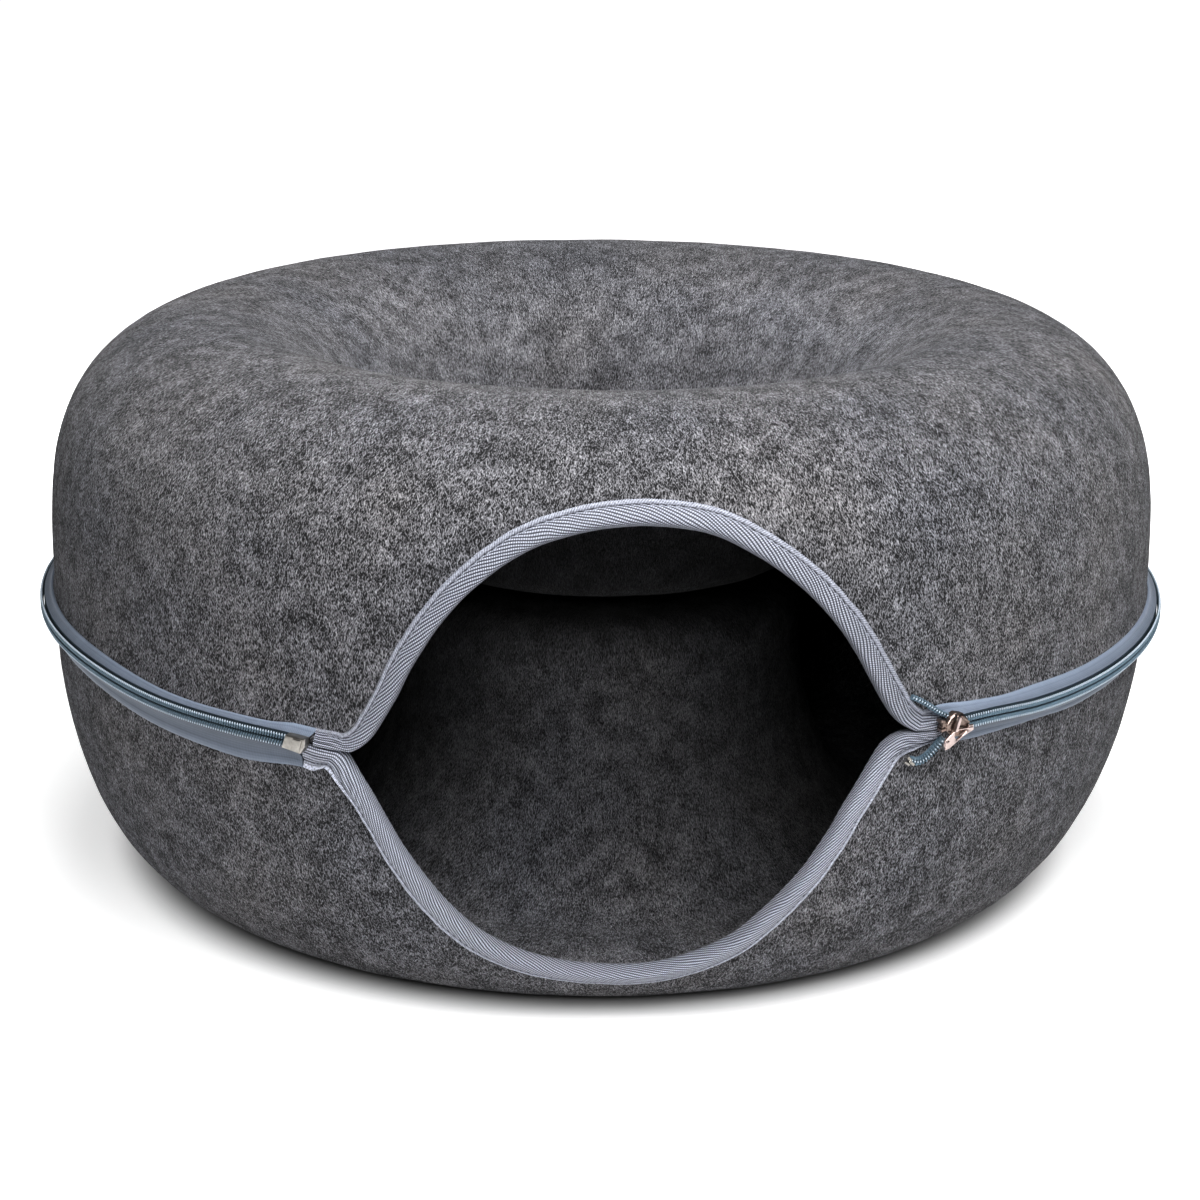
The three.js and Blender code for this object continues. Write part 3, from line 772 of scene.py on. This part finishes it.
selvage = 1 - twill.node("ShaderNodeMapRange", {"interpolation_type": "SMOOTHSTEP"}, {
    "Value": tape_across, "From Min": 0.0030, "From Max": 0.0036})
fleck = twill.node("ShaderNodeTexNoise", None, {"Vector": tape_run, "Scale": 900, "Detail": 1})
plain = 0.35 * pick + 0.9 * fleck - 0.06
frayed_side = twill.node("ShaderNodeMapRange", None, {
    "Value": height, "From Min": 0.134, "From Max": 0.128})
drift = twill.node("ShaderNodeTexNoise", None, {"Vector": ribs_run, "Scale": 30, "Detail": 2})
ribbed = rib * 0.42 + pick * rib * (0.2 + drift * 0.9)
frayed = selvage * frayed_side * (1 - twill.node("ShaderNodeMapRange", None, {
    "Value": twill_along, "From Min": 0.012, "From Max": 0.04}))
weave = ribbed + (plain - ribbed) * selvage + frayed * (fleck - 0.3) * 2.0
# Painted shade: the tape is darkened in its needle holes and along the sunk groove of the
# stitches.
needle = (twill_along - stitch_start) * (2 * math.pi / stitch_pitch)
needle = (needle.sum("COSINE", needle) * -1).sum("MAXIMUM", 0, 0)
hole = needle**5 * band(stitch_in - 0.0003, stitch_in + 0.0003, 0.0002)
painted_groove_shade = band(stitch_in - 0.0001, stitch_in + 0.0001, 0.0005)
# The dark gaps and pale tops of the ribs are partly the tape's own weave and partly painted shade
# and highlight on the rib relief.
twill_colour = twill.mix(weave, (0.06, 0.063, 0.079, 1), (0.65, 0.67, 0.755, 1))
twill_colour = twill.mix(painted_groove_shade * 0.45 + hole * 0.5, twill_colour, (0.03, 0.03, 0.038, 1))
# Painted light and shade: the tape is drawn 1.17 times as bright low down, falling to 0.89 times
# high up.
painted_light_by_height = twill.node("ShaderNodeMapRange", None, {
    "Value": height, "From Min": 0.125, "From Max": 0.155, "To Min": 1.17, "To Max": 0.89})
twill.cloth(twill.tone(twill_colour, painted_light_by_height), 0.45, weave - hole * 1.2, 0.00035, {
    "Specular IOR Level": 0.5,
    "Sheen Weight": 0.1,
})
upper_binding = bind("upper_binding", upper, upper_bound, "binding_upper")
lower_binding = bind("lower_binding", lower, lower_bound, "binding_lower")
for piece, run in (upper_binding, lower_binding):
    piece.data.materials.append(twill.material)
binding_thread = Finish("binding thread")
thread_spot = binding_thread.node("ShaderNodeTexCoord", output="Object")
twist = binding_thread.node("ShaderNodeTexNoise", None, {"Vector": thread_spot, "Scale": 1400})
twist_colour = binding_thread.mix(twist, (0.30, 0.31, 0.36, 1), (0.52, 0.54, 0.60, 1))
binding_thread.cloth(twist_colour, 0.5, twist, 0.0002)
upper_stitches = stitches("upper_stitches", upper, upper_bound, "binding_upper")
lower_stitches = stitches("lower_stitches", lower, lower_bound, "binding_lower")
for piece in (upper_stitches, lower_stitches):
    piece.data.materials.append(binding_thread.material)


# Zip tapes: woven polyester, one beside each row of teeth. Each slopes down from the teeth onto
# the felt and is sewn to it with one sunk line of stitches.
tape_gap = 0.00035
upper_reach = [(-180, 0.0084), (-60, 0.0066), (-44, 0.0050), (-36, 0.0052), (-33, 0.0054),
               (-30.6, 0.0068), (-28, 0.0076), (27, 0.0100), (29, 0.0102), (31.5, 0.0078),
               (36, 0.0068), (41, 0.0082), (50, 0.0078), (180, 0.0084)]
lower_reach = [(-180, 0.0110), (-65, 0.0128), (-50, 0.0154), (-43, 0.0163), (-36.5, 0.0172),
               (-33.5, 0.0160), (-30, 0.0139), (-29, 0.0136), (29, 0.0100), (33, 0.0116),
               (41, 0.0098), (49, 0.0114), (180, 0.0110)]
tape_section = [(0, 0.0028), (0.04, 0.0033), (0.16, 0.0029), (0.34, 0.0021), (0.5, 0.0016),
                (0.57, 0.00155), (0.61, 0.00145), (0.65, 0.0015), (0.78, 0.0015), (0.92, 0.0013),
                (1, 0.0006), (0.98, tape_gap), (0.6, tape_gap), (0.3, 0.0006), (0, 0.0020)]


def zip_strip(name, half, ends, reach, skew, node):
    """A tape between two angles round the back. Each skew slants the cut of one of its ends."""
    count = round((ends[1] - ends[0]) / 0.4)
    inner = 0.0035

    def place(i, j):
        angle = ends[0] + (ends[1] - ends[0]) * i / count
        signed = angle - 360 if angle > 180 else angle
        part, off = tape_section[j % len(tape_section)]
        near = eased(5, 0, min(angle - ends[0], ends[1] - angle))
        signed += skew[1 if signed < 0 else 0](part) * near
        into = inner + (spline(reach, signed) - inner) * part
        into += 0.00018 * noise.noise(Vector((angle * 2.5, half.side * 3, 0))) * part
        point = half.point(signed, into, off)
        return point, (math.radians(angle) * WALL_R, part * (1 if j < 11 else -1))

    piece = grid(name, count, len(tape_section), place, "tape")
    weld(piece)
    close_ends(piece)
    smooth(piece, 50)
    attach(piece, "root")
    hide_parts(node)
    return piece


satin = Finish("zip tape weave")
satin_run = satin.node("ShaderNodeUVMap", {"uv_map": "tape"})
satin_u = satin.node("ShaderNodeSeparateXYZ", None, [satin_run], 0)
satin_v = satin.node("ShaderNodeSeparateXYZ", None, [satin_run], 1)
warp = (satin_v * (2 * math.pi / 0.11))
warp = warp.sum("SINE", warp) * 0.5 + 0.5
weft = (satin_u + satin_v * 0.003) * (2 * math.pi / 0.0009)
weft = weft.sum("SINE", weft) * 0.5 + 0.5
satin_cloud = satin.node("ShaderNodeTexNoise", None, {
    "Vector": satin.node("ShaderNodeTexCoord", output="Object"), "Scale": 120, "Detail": 2})
satin_weave = warp * 0.3 + weft * 0.4 + satin_cloud * 0.5
# Painted shade: the tape is darkened a little along its sunk line of stitches.
painted_stitch_line_shade = satin_v - 0.61
painted_stitch_line_shade = painted_stitch_line_shade.sum("ABSOLUTE", painted_stitch_line_shade)
painted_stitch_line_shade = 1 - satin.node("ShaderNodeMapRange", {"interpolation_type": "SMOOTHSTEP"}, {
    "Value": painted_stitch_line_shade, "From Min": 0.008, "From Max": 0.06})
satin_colour = satin.mix(satin_weave, (0.20, 0.232, 0.285, 1), (0.295, 0.335, 0.405, 1))
satin_colour = satin.mix(painted_stitch_line_shade * 0.15, satin_colour, (0.09, 0.11, 0.145, 1))
# Painted light and shade across each tape: the upper tape is drawn 0.9 times as bright by the
# teeth, rising to 1.32 times at its felt edge, and the lower tape's copy below is drawn 0.55 to
# 0.95 times.
painted_tape_light_and_shade = satin.node("ShaderNodeMapRange", None, {
    "Value": satin_v, "From Min": 0.2, "From Max": 1, "To Min": 0.9, "To Max": 1.32})
satin.cloth(satin.tone(satin_colour, painted_tape_light_and_shade), 0.5, satin_weave, 0.0001, {
    "Specular IOR Level": 0.4,
    "Sheen Weight": 0.15,
})
lower_satin_in_painted_shade = satin.material.copy()
lower_satin_in_painted_shade.name = "zip tape weave, lower tape in painted shade"
shade_node = lower_satin_in_painted_shade.node_tree.nodes[painted_tape_light_and_shade.socket.node.name]
shade_node.inputs["To Min"].default_value = 0.55
shade_node.inputs["To Max"].default_value = 0.95
upper_tape = zip_strip("upper_zip_tape", upper, (27.6, 331.6), upper_reach,
                       (lambda part: 2.2 * (1 - part) ** 2, lambda part: 0.6 * part - 0.3),
                       "zip_tape_upper")
lower_tape = zip_strip("lower_zip_tape", lower, (30.2, 330.3), lower_reach,
                       (lambda part: 0.5 * part, lambda part: 0), "zip_tape_lower")
for piece, weave, area in ((upper_tape, satin.material, 0.0133), (lower_tape, lower_satin_in_painted_shade, 0.0165)):
    piece.data.materials.append(weave)


# Zip chain: two rows of nylon coil, each sewn to its tape with a pale thread. The rows are a
# straight strip of teeth at first, and are then bent round the bed's waist along the seam.
ZIP_R = 0.3
tooth_pitch = 0.0015
tooth_size = (0.00093, 0.0016)
tooth_bevel = 0.00035
chain_ends = (30.6, 329.5)


def waist(x):
    angle = chain_ends[0] + math.degrees(x / ZIP_R)
    turn = math.radians(angle)
    out = Vector((math.sin(turn), -math.cos(turn), 0))
    rise = spline(seam_rise, angle - 360 if angle > 180 else angle)
    return Vector((0, AXIS_Y, SEAM_Z + rise)) + ZIP_R * out, Vector((0, 0, 1)), out


def teeth(count, half_long, slant, start, side):
    bpy.ops.object.select_all(action="DESELECT")
    bpy.ops.mesh.primitive_cube_add(size=1)
    piece = bpy.context.object
    for vertex in piece.data.vertices:
        x, y, z = vertex.co
        vertex.co = (x * tooth_size[0], y * 2 * half_long, z * tooth_size[1])
    edit(piece)
    bpy.ops.mesh.bevel(offset=tooth_bevel, segments=1, affect="EDGES")
    bpy.ops.object.mode_set(mode="OBJECT")
    middle = half_long + 0.00028
    for vertex in piece.data.vertices:
        x, y, z = vertex.co
        dome = 0.0004 * (1 - (y / half_long) ** 2)
        vertex.co = (start + x + slant * y * side, side * (middle + y), z - 0.0012 + dome)
    modify(piece, "ARRAY", count=count, use_relative_offset=False, use_constant_offset=True,
           constant_offset_displace=(tooth_pitch, 0, 0))
    return piece


def strip(name, long, section):
    """A closed bar of the section's (y, z) points, along X."""
    count = max(2, round(long / 0.003))
    ring = section + section[:1]
    piece = grid(name, count, len(section), lambda i, j: (
        Vector((long * i / count, *ring[j])), (long * i / count, j / len(section))), "bar")
    weld(piece)
    close_ends(piece)
    return piece


def join(name, pieces):
    bpy.ops.object.select_all(action="DESELECT")
    for piece in pieces:
        piece.select_set(True)
    bpy.context.view_layer.objects.active = pieces[0]
    bpy.ops.object.join()
    pieces[0].name = name
    pieces[0].data.name = name
    return pieces[0]


def settle(piece, finish, node):
    piece.data.materials.clear()
    piece.data.materials.append(finish.material)
    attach(piece, "root")
    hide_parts(node)


def coil_finish(name, closed):
    """Nylon. In the closed chain, what lies deeper than the teeth is drawn darker, as painted
    shade.
    """
    finish = Finish(name)
    place = finish.node("ShaderNodeTexCoord", output="Object")
    fleck = finish.node("ShaderNodeTexNoise", None, {"Vector": place, "Scale": 900})
    colour = finish.mix(fleck, (0.105, 0.155, 0.195, 1), (0.24, 0.31, 0.36, 1))
    if closed:
        place = finish.vector("ADD", place, (0, -AXIS_Y, 0))
        painted_depth_shade = finish.node("ShaderNodeMapRange", None, {
            "Value": finish.length(finish.vector("MULTIPLY", place, (1, 1, 0))),
            "From Min": 0.2984, "From Max": 0.2994, "To Min": 0.3, "To Max": 1})
        colour = finish.mix(painted_depth_shade, (0.02, 0.032, 0.042, 1), colour)
    finish.cloth(colour, 0.4, fleck, 0.0001)
    return finish


thread = Finish("sewing thread")
thread_place = thread.node("ShaderNodeTexCoord", output="Object")
thread_fleck = thread.node("ShaderNodeTexNoise", None, {"Vector": thread_place, "Scale": 1500})
thread_colour = thread.mix(thread_fleck, (0.42, 0.48, 0.54, 1), (0.66, 0.72, 0.78, 1))
thread.cloth(thread_colour, 0.5, thread_fleck, 0.0002)
chain_long = math.radians(chain_ends[1] - chain_ends[0]) * ZIP_R
chain_count = int(chain_long / tooth_pitch)
core = strip("core", chain_long, [(-0.0034, -0.0022), (-0.0034, -0.0030), (-0.0014, -0.0038),
                                  (0.0014, -0.0038), (0.0034, -0.0030), (0.0034, -0.0022),
                                  (0.0006, -0.0022), (0, -0.0033), (-0.0006, -0.0022)])
rows = [teeth(chain_count, 0.0010, 0.35, 0.0007, 1), teeth(chain_count, 0.0010, 0.35, 0.0014, -1)]
chain = join("zip_coil", [core, *rows])
lay(chain, waist)
smooth(chain, 40)
seams = [sewing(chain_count, 0.0007, y, (0.00036, 0.00082, 0.00050), tooth_pitch, -0.0008, 0)
         for y in (-0.0025, 0.0025)]
chain_seams = join("zip_coil_thread", seams)
lay(chain_seams, waist)
smooth(chain_seams, 60)
settle(chain, coil_finish("nylon coil, closed, with painted shade", True), "zip_chain")
settle(chain_seams, thread, "zip_chain")


# Open coil ends: past the slider the two rows of teeth part, and each lies along its binding.
# They are the same nylon coil, with the same pale thread along the middle.
def path(spots):
    """A route along (angle, height over the seam, radius) spots."""
    points = []
    for angle, height, r in spots:
        turn = math.radians(angle)
        points.append(Vector((r * math.sin(turn), AXIS_Y - r * math.cos(turn), SEAM_Z + height)))
    run = [0, *accumulate((b - a).length for a, b in zip(points, points[1:]))]
    tables = [[(at, point[k]) for at, point in zip(run, points)] for k in range(3)]

    def route(x):
        here = Vector(spline(table, x) for table in tables)
        ahead = Vector(spline(table, x + 0.0004) for table in tables)
        behind = Vector(spline(table, x - 0.0004) for table in tables)
        along = (ahead - behind).normalized()
        out = Vector((here.x, here.y - AXIS_Y, 0)).normalized()
        across = out.cross(along).normalized()
        return here, across, along.cross(across)

    return route, run[-1]


def coil_end(name, spots, half_wide, node):
    route, long = path(spots)
    count = int((long - 0.001) / tooth_pitch)
    side = half_wide - 0.0002
    bar = strip("bar", long, [(-side, -0.0014), (-side, -0.0024), (side, -0.0024),
                              (side, -0.0014)])
    rows = [teeth(count, side * 0.5, 0.3, 0.0009, way) for way in (1, -1)]
    coil = join(name, [bar, *rows])
    lay(coil, route)
    smooth(coil, 40)
    beads = sewing(count, 0.0009, 0, (0.0004, 0.0006, 0.00045), tooth_pitch, -0.0002)
    beads.name = name + "_thread"
    beads.data.name = beads.name
    lay(beads, route)
    smooth(beads, 60)
    settle(coil, nylon, node)
    settle(beads, thread, node)


nylon = coil_finish("nylon coil", False)
coil_end("upper_coil_end", [
    (25.6, 0.0196, 0.2956), (26.3, 0.0178, 0.2960), (27.1, 0.0152, 0.2968),
    (27.9, 0.0122, 0.2976), (28.7, 0.0096, 0.2986), (29.4, 0.0078, 0.2994),
], 0.0013, "zip_end_upper")
coil_end("lower_coil_end", [
    (25.6, -0.0100, 0.2966), (26.2, -0.0114, 0.2966), (26.8, -0.0113, 0.2966),
    (27.4, -0.0098, 0.2968), (27.95, -0.0072, 0.2972), (28.4, -0.0045, 0.2978),
    (28.8, -0.0020, 0.2984),
], 0.0019, "zip_end_lower")


# Closed end box: a small pressed steel box, closed over the chain's left end. It is a slab lofted
# from its outline, with a raised tile on its face.
def loft(name, outline, levels, hole=None):
    """A plate of (x, y) mm points. Each level is (share, z mm): the share runs from the hole's
    outline, or else the plate's middle, to its own."""
    corners = len(outline)
    steps = 4
    middle = [sum(axis) / corners for axis in zip(*outline)]
    inner = hole or [middle] * corners
    rings = levels + levels[:1] if hole else levels

    def round_at(shape, i):
        k, part = divmod(i, steps)
        (x0, y0), (x1, y1) = shape[k % corners], shape[(k + 1) % corners]
        return x0 + (x1 - x0) * part / steps, y0 + (y1 - y0) * part / steps

    def place(i, j):
        share, z = rings[j]
        (xo, yo), (xi, yi) = round_at(outline, i), round_at(inner, i)
        point = Vector((xi + (xo - xi) * share, yi + (yo - yi) * share, z)) * 0.001
        return point, (i / (corners * steps), j)

    piece = grid(name, corners * steps, len(rings) - 1, place, "plate")
    weld(piece, 2e-6)
    edit(piece)
    bpy.ops.mesh.normals_make_consistent(inside=False)
    bpy.ops.object.mode_set(mode="OBJECT")
    return piece


def slab(low, high, soft=0.35):
    return [(0, low), (0.9, low), (1, low + soft), (1, high - soft), (0.93, high - 0.1),
            (0.8, high), (0, high)]


def bar(name, start, end, half_wide, low, high, soft=0.3):
    (x0, y0), (x1, y1) = start, end
    long = math.hypot(x1 - x0, y1 - y0)
    sx, sy = -(y1 - y0) / long * half_wide, (x1 - x0) / long * half_wide
    return loft(name, [(x0 + sx, y0 + sy), (x0 - sx, y0 - sy), (x1 - sx, y1 - sy),
                       (x1 + sx, y1 + sy)], slab(low, high, soft))


def mount(piece, angle, r=ZIP_R):
    turn = math.radians(angle)
    out = Vector((math.sin(turn), -math.cos(turn), 0))
    along = Vector((math.cos(turn), math.sin(turn), 0))
    middle = Vector((0, AXIS_Y, SEAM_Z)) + r * out
    for vertex in piece.data.vertices:
        x, y, z = vertex.co
        vertex.co = middle + x * along + Vector((0, 0, y)) + z * out
    smooth(piece, 42)


def metal(name, dark, pale, rough):
    finish = Finish(name)
    spot = finish.node("ShaderNodeTexCoord", output="Object")
    wear = finish.node("ShaderNodeTexNoise", None, {"Vector": spot, "Scale": 420, "Detail": 3})
    finish.node("ShaderNodeOutputMaterial", None, {
        "Surface": finish.node("ShaderNodeBsdfPrincipled", None, {
            "Base Color": finish.mix(wear, dark, pale),
            "Metallic": 1.0,
            "Roughness": rough + (wear - 0.5) * 0.25,
        }),
    })
    return finish


box_metal = metal("pressed steel", (0.24, 0.23, 0.215, 1), (0.66, 0.64, 0.61, 1), 0.42)
stop_box = join("end_box", [
    loft("plate", [(-7.6, -5.2), (3.4, -6.7), (6.3, -2.6), (6.5, 1.3), (-4.9, 1.8)],
         slab(-3.2, 1.1)),
    loft("tile", [(-2.0, -5.2), (3.2, -5.7), (5.0, 0.7), (-0.2, 1.0)], slab(0.6, 1.7)),
])
for vertex in stop_box.data.vertices:
    vertex.co.x, vertex.co.y = vertex.co.x * 0.9 - 0.0006, vertex.co.y * 0.92
mount(stop_box, -29.5)
settle(stop_box, box_metal, "zip_stop_box")


# End clip: a small steel clip of three bent jaws, pinched on the free end of the lower coil. It
# keeps the slider from running off.
clip = join("end_clip", [
    bar("jaw", (-1.6, -7.6), (0.3, -9.6), 0.75, -1.6, 1.6),
    bar("jaw", (-0.9, -9.3), (1.7, -11.8), 0.7, -1.6, 1.9),
    bar("jaw", (-2.8, -9.8), (-0.3, -11.6), 0.6, -1.6, 1.2),
])
mount(clip, 25.3, 0.2968)
settle(clip, box_metal, "zip_stop_clip")


# Slider: cast in worn nickel. It is a rounded body over both coils, with a neck and two prongs
# towards the mouth, and a domed bridge and a rail that carry the pull.
dark_nickel = metal("worn nickel", (0.14, 0.105, 0.095, 1), (0.52, 0.44, 0.40, 1), 0.31)
slider = join("slider_body", [
    loft("body", [(-8.8, 5.4), (-6.2, 8.8), (-2.7, 10.4), (1.4, 9.4), (4.1, 6.6), (5.8, 3.0),
                  (4.4, 0.2), (0.4, -1.6), (-4.4, -1.0), (-7.8, 2.2)],
         [(0, -3.4), (0.9, -3.4), (1, -2.8), (1, 0.3), (0.93, 1.2), (0.75, 1.7), (0.6, 1.5),
          (0.4, 1.5), (0, 1.6)]),
    bar("neck", (-10.7, 5.9), (-7.6, 5.2), 1.5, -2.2, 1.0),
    bar("prong", (-12.0, 8.2), (-9.2, 7.4), 0.75, -2.0, 1.5),
    bar("prong", (-11.5, 3.5), (-8.8, 3.9), 0.75, -2.0, 1.5),
    loft("dome", [(-5.0, 7.2), (-3.6, 10.0), (-1.7, 10.2), (-1.0, 8.0), (-2.6, 5.6)],
         [(0, 0.8), (1, 0.8), (1, 1.9), (0.8, 2.7), (0.45, 3.2), (0, 3.4)]),
    bar("rail", (-0.6, 8.2), (4.2, 4.8), 0.55, 1.2, 2.4),
])
mount(slider, 30.1)
settle(slider, dark_nickel, "zip_slider")


# Pull: a bent tab of brighter nickel with an open frame. Its link goes through the slider's
# bridge, and its tip hangs down over the felt.
nickel = metal("warm nickel", (0.46, 0.39, 0.37, 1), (0.80, 0.70, 0.68, 1), 0.36)
pull = join("pull_tab", [
    loft("frame", [(-5.3, 3.0), (-4.0, 3.6), (5.6, 3.0), (5.8, 1.6), (-0.6, -0.6), (-4.4, -2.6),
                   (-8.2, -4.9), (-10.5, -5.3), (-11.4, -2.9), (-10.9, -0.6)],
         [(1, 2.7), (1, 3.3), (0.85, 3.6), (0.2, 3.6), (0, 3.3), (0, 2.7), (0.2, 2.4),
          (0.85, 2.4)],
         [(-4.9, 2.5), (-3.6, 2.9), (1.4, 2.6), (2.3, 2.1), (-1.2, 0.0), (-3.3, -1.3),
          (-4.3, -1.2), (-5.2, -0.4), (-5.4, 0.6), (-5.2, 1.7)]),
    bar("link", (-4.9, 2.4), (-2.6, 9.3), 0.85, 2.2, 4.0, 0.5),
    bar("tip", (-9.9, -4.4), (-10.0, -0.9), 1.1, 3.2, 4.1),
    bar("head", (3.1, 3.1), (5.9, 2.9), 1.15, 2.0, 3.0, 0.2),
])
mount(pull, 30.1)
settle(pull, nickel, "zip_pull")
